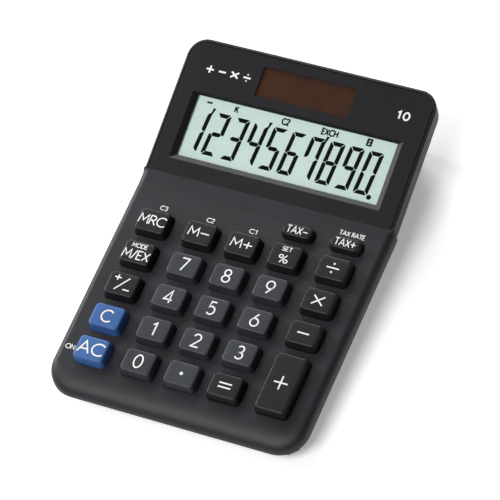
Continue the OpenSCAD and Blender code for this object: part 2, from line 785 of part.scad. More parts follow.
module battery_leads() {
    end = keypad_point(board_back - 3, board_bottom - lead_r);
    under = keypad_point(board_back + 3, board_bottom - lead_r);
    strip_x = battery_x + cell_r + battery_gap + 0.4 + lead_r;
    top = foot_h + battery_block_h + lead_r;
    color("#303236") {
        wire([[strip_x, battery_y, top], [strip_x + 4, battery_y - cover_d / 2 - 4, top],
              [strip_x, under[0], under[1]], [strip_x, end[0], end[1]]], lead_r);
        wire([[battery_x - 1.5 - lead_r, battery_y, top], [-9, battery_y - cover_d / 2 - 4, top],
              [-9, under[0], under[1]], [-9, end[0], end[1]]], lead_r);
    }
}

module case_screws() {
    color(contact_steel) for (s = [-1, 1], i = [0:len(screw_places) - 1]) {
        place = screw_places[i];
        seat = foot_h + seat_depth[i];
        translate([s * place[0], place[1], 0]) case_screw(seat, min(head_h, seat_depth[i] - 0.2),
                                                          split_z(place) + thread_l(place) - 0.3 - seat);
    }
}

module rubber_feet() {
    color("#3b3b3e") for (s = [-1, 1], place = foot_places)
        translate([s * place[0], place[1], 0]) difference() {
            rotate_extrude() polygon([[0, 0], [foot_r - 0.4, 0], [foot_r - 0.05, 0.35],
                                      [foot_r - 0.05, foot_h + foot_seat], [0, foot_h + foot_seat]]);
        }
}

// A hollow keycap with drafted walls, a flange under the case and a plunger over its dome.
module keycap(x, v, depth, height, r) {
    half_w = key_w / 2;
    half_d = depth / 2;
    keypad_frame() translate([x, v]) {
        difference() {
            union() {
                intersection() {
                    block(key_w, depth, r, flange_bottom, height);
                    cross_profile(drafted(half_w, height), -depth, depth);
                    side_bar(drafted(half_d, height));
                }
                block(key_w + 2 * flange_lip, depth + 2 * flange_lip, r + flange_lip, flange_bottom, flange_top);
            }
            block(key_w - 2 * cap_wall, depth - 2 * cap_wall, max(r - cap_wall, 0.4),
                  flange_bottom - past, height - cap_t);
        }
        rod(min(plunger_r, half_d - cap_wall - 0.1), plunger_bottom, height - cap_t);
    }
}

function drafted(half, height) =
    [[-half, -far], [half, -far], [half, 0], [half - key_draft, height], [key_draft - half, height], [-half, 0]];

module grid_key(column, row) {
    keycap(column_x(column), row_v(row), key_d, key_h, key_r);
}

module key_mrc() color(key_black) grid_key(0, 0);
module key_m_minus() color(key_black) grid_key(1, 0);
module key_m_plus() color(key_black) grid_key(2, 0);
module key_percent() color(key_black) grid_key(3, 0);
module key_divide() color(key_black) grid_key(4, 0);
module key_m_exchange() color(key_black) grid_key(0, 1);
module key_7() color(key_grey) grid_key(1, 1);
module key_8() color(key_grey) grid_key(2, 1);
module key_9() color(key_grey) grid_key(3, 1);
module key_multiply() color(key_black) grid_key(4, 1);
module key_sign() color(key_black) grid_key(0, 2);
module key_4() color(key_grey) grid_key(1, 2);
module key_5() color(key_grey) grid_key(2, 2);
module key_6() color(key_grey) grid_key(3, 2);
module key_minus() color(key_black) grid_key(4, 2);
module key_clear() color(key_blue) grid_key(0, 3);
module key_1() color(key_grey) grid_key(1, 3);
module key_2() color(key_grey) grid_key(2, 3);
module key_3() color(key_grey) grid_key(3, 3);
module key_all_clear() color(key_blue) grid_key(0, 4);
module key_0() color(key_grey) grid_key(1, 4);
module key_point() color(key_grey) grid_key(2, 4);
module key_equals() color(key_black) grid_key(3, 4);
module key_plus() color(key_black) keycap(column_x(4), row_v(3.5), key_d + row_pitch, key_h, key_r);
module key_tax_minus() color(key_black) keycap(column_x(3), -pill_row, pill_d, pill_h, pill_r);
module key_tax_plus() color(key_black) keycap(column_x(4), -pill_row, pill_d, pill_h, pill_r);

upper_case();
display_panel();
display_window();
lcd_panel();
lcd_reflector();
lcd_holder();
lcd_ribbon();
solar_cell();
solar_pad();
solar_leads();
rubber_key_sheet();
circuit_board();
controller_chip();
board_components();
board_screws();
lower_case();
battery_cover();
battery_cover_screw();
button_cell();
battery_contact_positive();
battery_contact_negative();
battery_leads();
case_screws();
rubber_feet();
key_mrc();
key_m_minus();
key_m_plus();
key_percent();
key_divide();
key_m_exchange();
key_7();
key_8();
key_9();
key_multiply();
key_sign();
key_4();
key_5();
key_6();
key_minus();
key_clear();
key_1();
key_2();
key_3();
key_all_clear();
key_0();
key_point();
key_equals();
key_plus();
key_tax_minus();
key_tax_plus();
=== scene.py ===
import math

import bmesh
import bpy
import numpy as np
from mathutils import Matrix, Vector
from mathutils.bvhtree import BVHTree


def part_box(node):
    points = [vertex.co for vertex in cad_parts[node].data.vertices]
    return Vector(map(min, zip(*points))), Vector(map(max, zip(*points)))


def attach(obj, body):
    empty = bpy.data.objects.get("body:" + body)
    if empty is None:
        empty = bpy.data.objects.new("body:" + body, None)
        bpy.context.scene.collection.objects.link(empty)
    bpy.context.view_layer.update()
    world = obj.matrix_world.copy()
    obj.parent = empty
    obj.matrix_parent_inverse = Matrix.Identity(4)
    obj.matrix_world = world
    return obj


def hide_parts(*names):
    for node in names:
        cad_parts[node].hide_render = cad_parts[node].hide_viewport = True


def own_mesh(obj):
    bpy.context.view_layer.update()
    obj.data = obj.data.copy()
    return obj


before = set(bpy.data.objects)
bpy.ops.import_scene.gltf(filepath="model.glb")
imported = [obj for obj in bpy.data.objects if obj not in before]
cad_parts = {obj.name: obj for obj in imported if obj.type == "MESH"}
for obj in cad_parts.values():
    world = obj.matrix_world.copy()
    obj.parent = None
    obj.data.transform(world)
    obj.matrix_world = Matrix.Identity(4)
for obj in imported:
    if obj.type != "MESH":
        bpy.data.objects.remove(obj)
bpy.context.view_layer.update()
MM = 0.001
CUT_TOLERANCE = 1e-6

# ---------------------------------------------------------------- measures, in millimetres
SKIRT = 5.2
RIM = 1.0
FRONT_R, BACK_R = 11.0, 7.5
FRONT_ROLL, SIDE_ROLL, EDGE_ROLL = 9.0, 3.1, 1.0
FRONT_DROP = 4.9
SWEEP, STEP = 8.5, 0.7
WALL, FRONT_WALL, HOUSING = 1.8, 4.8, 3.4
PANEL_T = 2.0
KEY_GAP, FLANGE_LIP = 0.25, 0.6
KEY_DRAFT, KEY_FILLET = 0.45, 0.75
KEY_R, PILL_R, PILL_HALF_D = 1.7, 2.6, 4.0
INK_T = 0.05
SAME_POINT = 0.0001


# ---------------------------------------------------------------- places taken from the CAD frame
def largest_face(node):
    """Normal and a point of the largest flat area of a CAD node that looks up."""
    areas = {}
    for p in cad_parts[node].data.polygons:
        if p.normal.z > 0.8:
            key = (round(p.normal.y, 3), round(p.normal.dot(p.center), 5))
            total = areas.get(key, (0.0,))[0]
            areas[key] = (total + p.area, p.normal.copy(), p.center.copy())
    return max(areas.values(), key=lambda a: a[0])[1:]


def sloped_frame(node, y):
    """Frame on that face: x to the right, y up the slope, z out of it, its origin on the line at y."""
    normal, point = largest_face(node)
    normal.normalize()
    right = Vector((1, 0, 0))
    up = normal.cross(right).normalized()
    origin = point + up * ((y - point.y) / up.y)
    m = Matrix((right, up, normal)).transposed().to_4x4()
    m.translation = (0, origin.y, origin.z)
    return m


panel_low, panel_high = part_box("display_panel")
case_low, case_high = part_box("upper_case")
CREASE = panel_low.y / MM
KEYPAD = sloped_frame("upper_case", panel_low.y)
DISPLAY = sloped_frame("display_panel", panel_low.y)
HALF_W = case_high.x / MM
DISPLAY_HALF_W = panel_high.x / MM + RIM
FRONT, BACK = case_low.y / MM, case_high.y / MM
TOP = case_high.z / MM


def slope(m):
    return m[2][1] / m[1][1]


def keypad_z(y):
    return KEYPAD.translation.z / MM + (y - CREASE) * slope(KEYPAD)


def display_z(y):
    return DISPLAY.translation.z / MM + (y - CREASE) * slope(DISPLAY)


def local_box(node, m):
    """Lowest and highest corner of a CAD node in a sloped frame, in millimetres."""
    inverse = m.inverted()
    co = np.array([inverse @ v.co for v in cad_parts[node].data.vertices]) / MM
    return co.min(0), co.max(0)


# ---------------------------------------------------------------- mesh helpers
def new_object(name, bm, m=None):
    """Turns a bmesh in millimetres into an object, in the world frame or in the sloped frame m."""
    bmesh.ops.scale(bm, vec=(MM, MM, MM), verts=bm.verts)
    if m is not None:
        bmesh.ops.transform(bm, matrix=m, verts=bm.verts)
    bmesh.ops.recalc_face_normals(bm, faces=bm.faces)
    mesh = bpy.data.meshes.new(name)
    bm.to_mesh(mesh)
    bm.free()
    obj = bpy.data.objects.new(name, mesh)
    bpy.context.scene.collection.objects.link(obj)
    return obj


def smooth(obj, angle=32, weighted=True):
    for p in obj.data.polygons:
        p.use_smooth = True
    obj.data.set_sharp_from_angle(angle=math.radians(angle))
    if weighted:
        mod = obj.modifiers.new("weighted", "WEIGHTED_NORMAL")
        mod.keep_sharp = True


def ring_walls(bm, rings):
    """Walls between rings of equal length, each a list of points. Gives back the rings' vertices."""
    loops = [[bm.verts.new(p) for p in ring] for ring in rings]
    n = len(loops[0])
    for a, b in zip(loops, loops[1:]):
        for i in range(n):
            j = (i + 1) % n
            bm.faces.new((a[i], a[j], b[j], b[i]))
    return loops


def loop_solid(bm, rings):
    """A closed solid from rings, capped by one face at each end."""
    loops = ring_walls(bm, rings)
    bm.faces.new(reversed(loops[0]))
    bm.faces.new(loops[-1])
    bmesh.ops.remove_doubles(bm, verts=[v for loop in loops for v in loop], dist=SAME_POINT)


def rounded(half_w, half_d, r, n=6, centre=(0, 0)):
    """Outline of a rounded rectangle, counter-clockwise."""
    r = min(r, half_w, half_d)
    out = []
    for k, (sx, sy) in enumerate(((1, 1), (-1, 1), (-1, -1), (1, -1))):
        for i in range(n + 1):
            a = math.radians(90 * k + 90 * i / n)
            out.append((centre[0] + sx * (half_w - r) + r * math.cos(a),
                        centre[1] + sy * (half_d - r) + r * math.sin(a)))
    return out


def prism(bm, outline, low, high):
    loop_solid(bm, [[(x, y, low) for x, y in outline], [(x, y, high) for x, y in outline]])


def cut(obj, cutters):
    """Subtracts each cutter in turn, and applies the result."""
    for c in cutters:
        mod = obj.modifiers.new("cut", "BOOLEAN")
        mod.operation, mod.solver, mod.object = "DIFFERENCE", "EXACT", c
    evaluated = obj.evaluated_get(bpy.context.evaluated_depsgraph_get())
    mesh = bpy.data.meshes.new_from_object(evaluated)
    obj.modifiers.clear()
    obj.data = mesh
    for c in cutters:
        bpy.data.objects.remove(c)
    bm = bmesh.new()
    bm.from_mesh(mesh)
    bmesh.ops.remove_doubles(bm, verts=bm.verts, dist=CUT_TOLERANCE)
    bmesh.ops.dissolve_degenerate(bm, edges=bm.edges, dist=CUT_TOLERANCE)
    bm.to_mesh(mesh)
    bm.free()


# ---------------------------------------------------------------- materials
class Shader:
    """Small helper round one Principled material's node tree."""

    def __init__(self, name, rough=0.5, metallic=0.0, specular=0.5, coat=0.0, coat_rough=0.2):
        self.material = bpy.data.materials.new(name)
        self.material.use_nodes = True
        self.nodes = self.material.node_tree.nodes
        self.links = self.material.node_tree.links
        self.surface = self.nodes["Principled BSDF"]
        self.surface.inputs["Roughness"].default_value = rough
        self.surface.inputs["Metallic"].default_value = metallic
        self.surface.inputs["Specular IOR Level"].default_value = specular
        self.surface.inputs["Coat Weight"].default_value = coat
        self.surface.inputs["Coat Roughness"].default_value = coat_rough
        self.place = self.nodes.new("ShaderNodeTexCoord").outputs["Object"]

    def add(self, kind, **settings):
        node = self.nodes.new(kind)
        for key, value in settings.items():
            setattr(node, key, value)
        return node

    def noise(self, scale, detail=3.0, stretch=None, rough=0.55):
        node = self.add("ShaderNodeTexNoise")
        node.inputs["Scale"].default_value = scale
        node.inputs["Detail"].default_value = detail
        node.inputs["Roughness"].default_value = rough
        source = self.place
        if stretch:
            mapping = self.add("ShaderNodeMapping")
            mapping.inputs["Scale"].default_value = stretch
            self.links.new(self.place, mapping.inputs["Vector"])
            source = mapping.outputs["Vector"]
        self.links.new(source, node.inputs["Vector"])
        return node.outputs["Fac"]

    def ramp(self, value, low, high, start=0.3, end=0.7):
        node = self.add("ShaderNodeValToRGB")
        node.color_ramp.elements[0].position = start
        node.color_ramp.elements[0].color = (*low, 1)
        node.color_ramp.elements[1].position = end
        node.color_ramp.elements[1].color = (*high, 1)
        self.links.new(value, node.inputs["Fac"])
        return node.outputs["Color"]

    def spread(self, value, low, high):
        node = self.add("ShaderNodeMapRange")
        node.inputs["To Min"].default_value = low
        node.inputs["To Max"].default_value = high
        self.links.new(value, node.inputs["Value"])
        return node.outputs["Result"]

    def colour(self, socket):
        self.links.new(socket, self.surface.inputs["Base Color"])

    def roughness(self, socket):
        self.links.new(socket, self.surface.inputs["Roughness"])

    def bump(self, value, distance, strength=1.0, before=None):
        node = self.add("ShaderNodeBump")
        node.inputs["Distance"].default_value = distance
        node.inputs["Strength"].default_value = strength
        self.links.new(value, node.inputs["Height"])
        if before:
            self.links.new(before, node.inputs["Normal"])
        self.links.new(node.outputs["Normal"], self.surface.inputs["Normal"])
        return node.outputs["Normal"]


def scaled(colour, factor):
    return tuple(min(1.0, c * factor) for c in colour)


def moulded(name, colour, rough=0.5, grain=2600, depth=0.012, tint=0.14, specular=0.28):
    """Moulded plastic or rubber: a fine spark-eroded grain, with faint changes of colour and gloss."""
    s = Shader(name, rough=rough, specular=specular)
    broad = s.noise(60, 2)
    s.colour(s.ramp(broad, scaled(colour, 1 - tint), scaled(colour, 1 + tint)))
    fine = s.noise(grain, 2)
    s.roughness(s.spread(fine, rough - 0.07, rough + 0.07))
    coarse_bump = s.bump(s.noise(grain / 3, 2), depth * MM * 2, 0.5)
    s.bump(fine, depth * MM, 1.0, coarse_bump)
    return s.material


def metal(name, colour, rough=0.3, stretch=(1, 1, 14), scale=900):
    s = Shader(name, rough=rough, metallic=1.0)
    lines = s.noise(scale, 4, stretch=stretch)
    s.colour(s.ramp(lines, scaled(colour, 0.82), scaled(colour, 1.1)))
    s.roughness(s.spread(lines, rough - 0.08, rough + 0.12))
    s.bump(lines, 0.004 * MM)
    return s.material


def ink(name, colour, rough=0.45, specular=0.3):
    """Screen-printed ink: a little mottled, with a slightly rough surface."""
    s = Shader(name, rough=rough, specular=specular)
    s.colour(s.ramp(s.noise(900, 2), scaled(colour, 0.94), colour))
    s.bump(s.noise(4000, 2), 0.004 * MM)
    return s.material


def lcd_glass():
    """Pale display glass: faint cell lines and a slight green to blue drift."""
    s = Shader("display_glass", rough=0.32, specular=0.4)
    broad = s.noise(25, 1)
    s.colour(s.ramp(broad, (0.80, 0.93, 0.905), (0.84, 0.96, 0.935)))
    wave = s.add("ShaderNodeTexWave", bands_direction="X")
    wave.inputs["Scale"].default_value = 900
    s.links.new(s.place, wave.inputs["Vector"])
    s.bump(wave.outputs["Fac"], 0.001 * MM, 0.3)
    s.roughness(s.spread(s.noise(400, 2), 0.28, 0.36))
    return s.material


def solar_glass():
    """Amorphous solar cell: four dark brown fields between thin scribed lines, under glass."""
    s = Shader("solar_glass", rough=0.3, specular=0.15)
    brown = s.ramp(s.noise(120, 3), (0.036, 0.0155, 0.0085), (0.046, 0.020, 0.0115))
    wave = s.add("ShaderNodeTexWave", bands_direction="X", wave_profile="SAW")
    wave.inputs["Scale"].default_value = 1000 / (2 * math.pi) / 1.6
    s.links.new(s.place, wave.inputs["Vector"])
    line = s.ramp(wave.outputs["Fac"], (0.0, 0.0, 0.0), (0.12, 0.12, 0.12), 0.97, 0.99)
    mix = s.add("ShaderNodeMix", data_type="RGBA", blend_type="ADD")
    mix.inputs["Factor"].default_value = 0.06
    s.links.new(brown, mix.inputs["A"])
    s.links.new(line, mix.inputs["B"])
    s.colour(mix.outputs["Result"])
    s.roughness(s.spread(s.noise(700, 2), 0.22, 0.36))
    s.bump(s.noise(1800, 2), 0.003 * MM)
    return s.material


def clear_window():
    """Clear acrylic window: mostly see-through, with a weak uneven reflection and faint waves."""
    material = bpy.data.materials.new("clear_window")
    material.use_nodes = True
    nodes, links = material.node_tree.nodes, material.node_tree.links
    nodes.clear()
    place = nodes.new("ShaderNodeTexCoord")
    noise = nodes.new("ShaderNodeTexNoise")
    noise.inputs["Scale"].default_value = 300
    bump = nodes.new("ShaderNodeBump")
    bump.inputs["Distance"].default_value = 0.002 * MM
    clear = nodes.new("ShaderNodeBsdfTransparent")
    clear.inputs["Color"].default_value = (0.97, 0.985, 0.98, 1)
    gloss = nodes.new("ShaderNodeBsdfGlossy")
    gloss.inputs["Roughness"].default_value = 0.12
    facing = nodes.new("ShaderNodeFresnel")
    facing.inputs["IOR"].default_value = 1.3
    mix = nodes.new("ShaderNodeMixShader")
    out = nodes.new("ShaderNodeOutputMaterial")
    links.new(place.outputs["Object"], noise.inputs["Vector"])
    links.new(noise.outputs["Fac"], bump.inputs["Height"])
    links.new(bump.outputs["Normal"], gloss.inputs["Normal"])
    links.new(facing.outputs["Fac"], mix.inputs["Fac"])
    links.new(clear.outputs["BSDF"], mix.inputs[1])
    links.new(gloss.outputs["BSDF"], mix.inputs[2])
    links.new(mix.outputs["Shader"], out.inputs["Surface"])
    return material


def board_laminate():
    """Green board: copper tracks show as a lighter brick-like network under the lacquer."""
    s = Shader("board_laminate", rough=0.38, coat=0.3)
    brick = s.add("ShaderNodeTexBrick")
    brick.inputs["Scale"].default_value = 180
    brick.inputs["Mortar Size"].default_value = 0.03
    brick.inputs["Color1"].default_value = (0.01, 0.075, 0.03, 1)
    brick.inputs["Color2"].default_value = (0.012, 0.085, 0.034, 1)
    brick.inputs["Mortar"].default_value = (0.05, 0.16, 0.05, 1)
    s.links.new(s.place, brick.inputs["Vector"])
    s.colour(brick.outputs["Color"])
    s.bump(brick.outputs["Fac"], 0.02 * MM)
    return s.material


CASE = moulded("case_plastic", (0.0165, 0.0165, 0.0205), rough=0.47, grain=2400, depth=0.014)
PANEL = moulded("panel_plastic", (0.0075, 0.0075, 0.0095), rough=0.44, grain=2000, depth=0.02, specular=0.2)
KEY_BLACK = moulded("key_black", (0.0095, 0.0092, 0.0115), rough=0.42, grain=3600, depth=0.006)
KEY_GREY = moulded("key_grey", (0.030, 0.033, 0.038), rough=0.44, grain=3600, depth=0.006)
KEY_BLUE = moulded("key_blue", (0.038, 0.105, 0.29), rough=0.42, grain=3600, depth=0.006)
WHITE_INK = ink("white_ink", (0.78, 0.78, 0.78))
CREAM_INK = ink("cream_ink", (0.80, 0.76, 0.64))
BLACK_INK = ink("display_segments", (0.002, 0.0025, 0.003), 0.6, 0.05)
STEEL = metal("screw_steel", (0.56, 0.56, 0.58), 0.28)
SPRING = metal("contact_steel", (0.66, 0.65, 0.62), 0.22)
CELL = metal("cell_steel", (0.68, 0.69, 0.71), 0.2, (6, 6, 1), 500)
FOIL = metal("reflector_foil", (0.62, 0.63, 0.64), 0.45, (1, 1, 1), 1500)
NODE_MATERIALS = {
    "display_panel": PANEL, "display_window": clear_window(),
    "lcd_panel": lcd_glass(), "lcd_reflector": FOIL,
    "lcd_holder": moulded("holder_plastic", (0.62, 0.62, 0.58), 0.5),
    "lcd_ribbon": moulded("ribbon_film", (0.42, 0.2, 0.04), 0.35, grain=900, tint=0.25),
    "solar_cell": solar_glass(),
    "solar_pad": moulded("pad_foam", (0.03, 0.03, 0.03), 0.9, grain=1500, depth=0.1),
    "solar_leads": moulded("lead_sheath_red", (0.36, 0.02, 0.02), 0.42, grain=1200),
    "battery_leads": moulded("lead_sheath_black", (0.02, 0.02, 0.02), 0.42, grain=1200),
    "rubber_key_sheet": moulded("sheet_rubber", (0.22, 0.23, 0.24), 0.7, grain=1400, depth=0.03),
    "circuit_board": board_laminate(),
    "controller_chip": moulded("chip_resin", (0.008, 0.008, 0.009), 0.22),
    "board_components": moulded("component_ceramic", (0.24, 0.12, 0.05), 0.4, grain=1800),
    "board_screws": STEEL, "case_screws": STEEL, "battery_cover_screw": STEEL,
    "lower_case": moulded("lower_plastic", (0.019, 0.019, 0.021), rough=0.52, grain=1900, depth=0.02),
    "battery_cover": moulded("cover_plastic", (0.019, 0.019, 0.021), rough=0.52, grain=1900, depth=0.02),
    "button_cell": CELL, "battery_contact_positive": SPRING, "battery_contact_negative": SPRING,
    "rubber_feet": moulded("foot_rubber", (0.028, 0.028, 0.03), 0.75, grain=1300, depth=0.03),
}


def finish_piece(obj, material, body, slot, *nodes):
    """Gives a piece its material and body, and hides the CAD nodes that it replaces. The slot argument is not
    used.
    """
    obj.data.materials.clear()
    obj.data.materials.append(material)
    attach(obj, body)
    if nodes:
        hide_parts(*nodes)
    return obj


def drape(obj, m, surface):
    """Lays a flat print down on a surface, keeping each point's height over the sloped frame's plane."""
    corners = [v.co for v in surface.data.vertices]
    tree = BVHTree.FromPolygons(corners, [p.vertices for p in surface.data.polygons])
    normal, inverse = m.to_3x3().col[2], m.inverted()
    start, reach = 3 * MM, 8 * MM
    for v in obj.data.vertices:
        height = (inverse @ v.co).z
        hit = tree.ray_cast(v.co + normal * start, -normal, reach)[0]
        v.co = hit + normal * height
    return obj


# ---------------------------------------------------------------- upper case
def ease(t):
    t = min(1.0, max(0.0, t))
    return t * t * (3 - 2 * t)


def top_z(y):
    """Height of the case's top face along the depth: keypad, concave sweep, display rim."""
    if y >= CREASE:
        return display_z(y)
    t = max(0.0, (y - (CREASE - SWEEP)) / SWEEP)
    return keypad_z(y) + STEP * t * t


def rim_z(y):
    return max(keypad_z(y), display_z(y) - STEP) - SKIRT


def side_x(y):
    return HALF_W + (DISPLAY_HALF_W - HALF_W) * ease((y - CREASE + 0.2) / 1.2)


def right_stations(front_inset, side_inset, edge_inset):
    """Stations of the case's right half from front to back: outer point, inset point, drop of the roll."""
    out = []
    cx, cy = HALF_W - FRONT_R, FRONT + FRONT_R
    for i in range(15):
        a = math.radians(-90 + 90 * i / 14)
        out.append(((cx + FRONT_R * math.cos(a), cy + FRONT_R * math.sin(a)),
                    (cx + (FRONT_R - side_inset) * math.cos(a), cy + (FRONT_R - front_inset) * math.sin(a)),
                    FRONT_DROP + (SIDE_ROLL - FRONT_DROP) * ease(i / 14)))
    y = cy
    stops = [y + (CREASE - SWEEP - y) * i / 12 for i in range(1, 13)]
    stops += [CREASE - SWEEP + SWEEP * i / 10 for i in range(1, 10)]
    stops += [CREASE - 0.2 + 1.2 * i / 6 for i in range(7)]
    stops += [CREASE + 3, CREASE + 12, CREASE + 25, CREASE + 38, BACK - BACK_R]
    for y in stops:
        fade = ease((y - CREASE + 1.2) / 1.8)
        inset = side_inset + (edge_inset - side_inset) * fade
        out.append(((side_x(y), y), (side_x(y) - inset, y), SIDE_ROLL + (EDGE_ROLL - SIDE_ROLL) * fade))
    for i in range(1, 11):
        c, s = math.cos(math.radians(90 * i / 10)), math.sin(math.radians(90 * i / 10))
        cx, cy, r = DISPLAY_HALF_W - BACK_R, BACK - BACK_R, BACK_R - edge_inset
        out.append(((cx + BACK_R * c, cy + BACK_R * s), (cx + r * c, cy + r * s), EDGE_ROLL))
    return out


def both_sides(right):
    """The whole loop, counter-clockwise from the front right."""
    return right + [(-x, y, z) for x, y, z in reversed(right)]


def strip_solid(bm, rings):
    """Solid from two-sided rings, capped by strips that run across."""
    loops = ring_walls(bm, [both_sides(ring) for ring in rings])
    n = len(loops[0])
    for loop in (loops[0], loops[-1]):
        for i in range(n // 2 - 1):
            bm.faces.new((loop[i], loop[i + 1], loop[n - 2 - i], loop[n - 1 - i]))


def case_shell():
    """The upper case: rolled edges and the sweep outside, and openings for the panel, display and keys."""
    stations = right_stations(FRONT_ROLL, SIDE_ROLL, EDGE_ROLL)
    rings = [[(x, y, rim_z(y)) for (x, y), _, _ in stations]]
    steps = 9
    for k in range(steps + 1):
        a = math.radians(90 * k / steps)
        ring = []
        for (x, y), (ix, iy), drop in stations:
            px, py = x + (ix - x) * (1 - math.cos(a)), y + (iy - y) * (1 - math.cos(a))
            ring.append((px, py, min(top_z(py) - drop * (1 - math.sin(a)), TOP)))
        rings.append(ring)
    bm = bmesh.new()
    strip_solid(bm, rings)
    shell = new_object("case_top", bm)

    bm = bmesh.new()
    low, high = [], []
    for _, (px, py), _ in right_stations(FRONT_WALL, WALL, WALL):
        if py > CREASE - 1:
            roof = display_z(py) - HOUSING / DISPLAY[1][1]
        else:
            roof = keypad_z(py) - WALL / KEYPAD[1][1]
        low.append((px, py, rim_z(py) - 3))
        high.append((px, py, roof))
    strip_solid(bm, [low, high])
    cavity = new_object("cavity", bm)

    bm = bmesh.new()
    low, high = local_box("display_panel", DISPLAY)
    outline = panel_outline(high[0] + 0.05, low[1] - 0.05, high[1] + 0.05, BACK_R - RIM)
    prism(bm, outline, -PANEL_T, 3)
    recess = new_object("recess", bm, DISPLAY)

    bm = bmesh.new()
    low, high = local_box("lcd_panel", DISPLAY)
    centre = ((low[0] + high[0]) / 2, (low[1] + high[1]) / 2)
    prism(bm, rounded((high[0] - low[0]) / 2 + 0.2, (high[1] - low[1]) / 2 + 0.2, 1, 3, centre), -7, -1)
    holes = new_object("display_hole", bm, DISPLAY)

    bm = bmesh.new()
    for node in KEYS:
        (cx, cv), half_w, half_d, _, r = key_measures(node)
        prism(bm, rounded(half_w + KEY_GAP, half_d + KEY_GAP, r + KEY_GAP, 5, (cx, cv)), -WALL - 2, 2)
    key_holes = new_object("key_holes", bm, KEYPAD)
    cut(shell, [cavity, recess, holes, key_holes])
    smooth(shell, 30)
    return finish_piece(shell, CASE, "case", "case_plastic", "upper_case")


def panel_outline(half_w, front, back, r):
    out = [(half_w, front)]
    for i in range(9):
        a = math.radians(90 * i / 8)
        out.append((half_w - r + r * math.cos(a), back - r + r * math.sin(a)))
    return out + [(-x, y) for x, y in reversed(out)]


# ---------------------------------------------------------------- keycaps
KEYS = [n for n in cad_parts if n.startswith("key_")]
GREY = {"key_%d" % i for i in range(10)} | {"key_point"}
BLUE = {"key_clear", "key_all_clear"}


def key_measures(node):
    """Centre, half width, half depth, top and corner radius of a keycap, in the keypad's frame."""
    low, high = local_box(node, KEYPAD)
    half_w = (high[0] - low[0]) / 2 - FLANGE_LIP
    half_d = (high[1] - low[1]) / 2 - FLANGE_LIP
    radius = PILL_R if half_d < PILL_HALF_D else KEY_R
    return ((low[0] + high[0]) / 2, (low[1] + high[1]) / 2), half_w, half_d, high[2], radius


def keycap(node):
    centre, half_w, half_d, top, r = key_measures(node)
    flange_low, flange_high = -WALL - 0.85, -WALL - 0.05
    profile = [(FLANGE_LIP, flange_low), (FLANGE_LIP, flange_high), (0, flange_high), (0, 0)]
    edge = KEY_FILLET
    for i in range(7):
        a = math.radians(6 + 84 * i / 6)
        profile.append((-KEY_DRAFT - edge * (1 - math.cos(a)), top - 0.05 - edge * (1 - math.sin(a))))
    profile += [(-KEY_DRAFT - edge - 0.9, top - 0.015), (-KEY_DRAFT - edge - 1.6, top)]
    bm = bmesh.new()
    rings = [[(x, y, w) for x, y in rounded(half_w + g, half_d + g, max(r + 0.35 * g, 0.5), 7, centre)]
             for g, w in profile]
    loop_solid(bm, rings)
    cap = new_object(node + "_cap", bm, KEYPAD)
    smooth(cap, 40)
    kind = "key_grey" if node in GREY else "key_blue" if node in BLUE else "key_black"
    material = {"key_grey": KEY_GREY, "key_blue": KEY_BLUE, "key_black": KEY_BLACK}[kind]
    return finish_piece(cap, material, node, kind, node)


# ---------------------------------------------------------------- stroke lettering
def bow(cx, cy, rx, ry, start, end, n=14):
    return [(cx + rx * math.cos(math.radians(start + (end - start) * i / n)),
             cy + ry * math.sin(math.radians(start + (end - start) * i / n))) for i in range(n + 1)]


def dot(x, y, r=0.055):
    return ("dot", x, y, r)


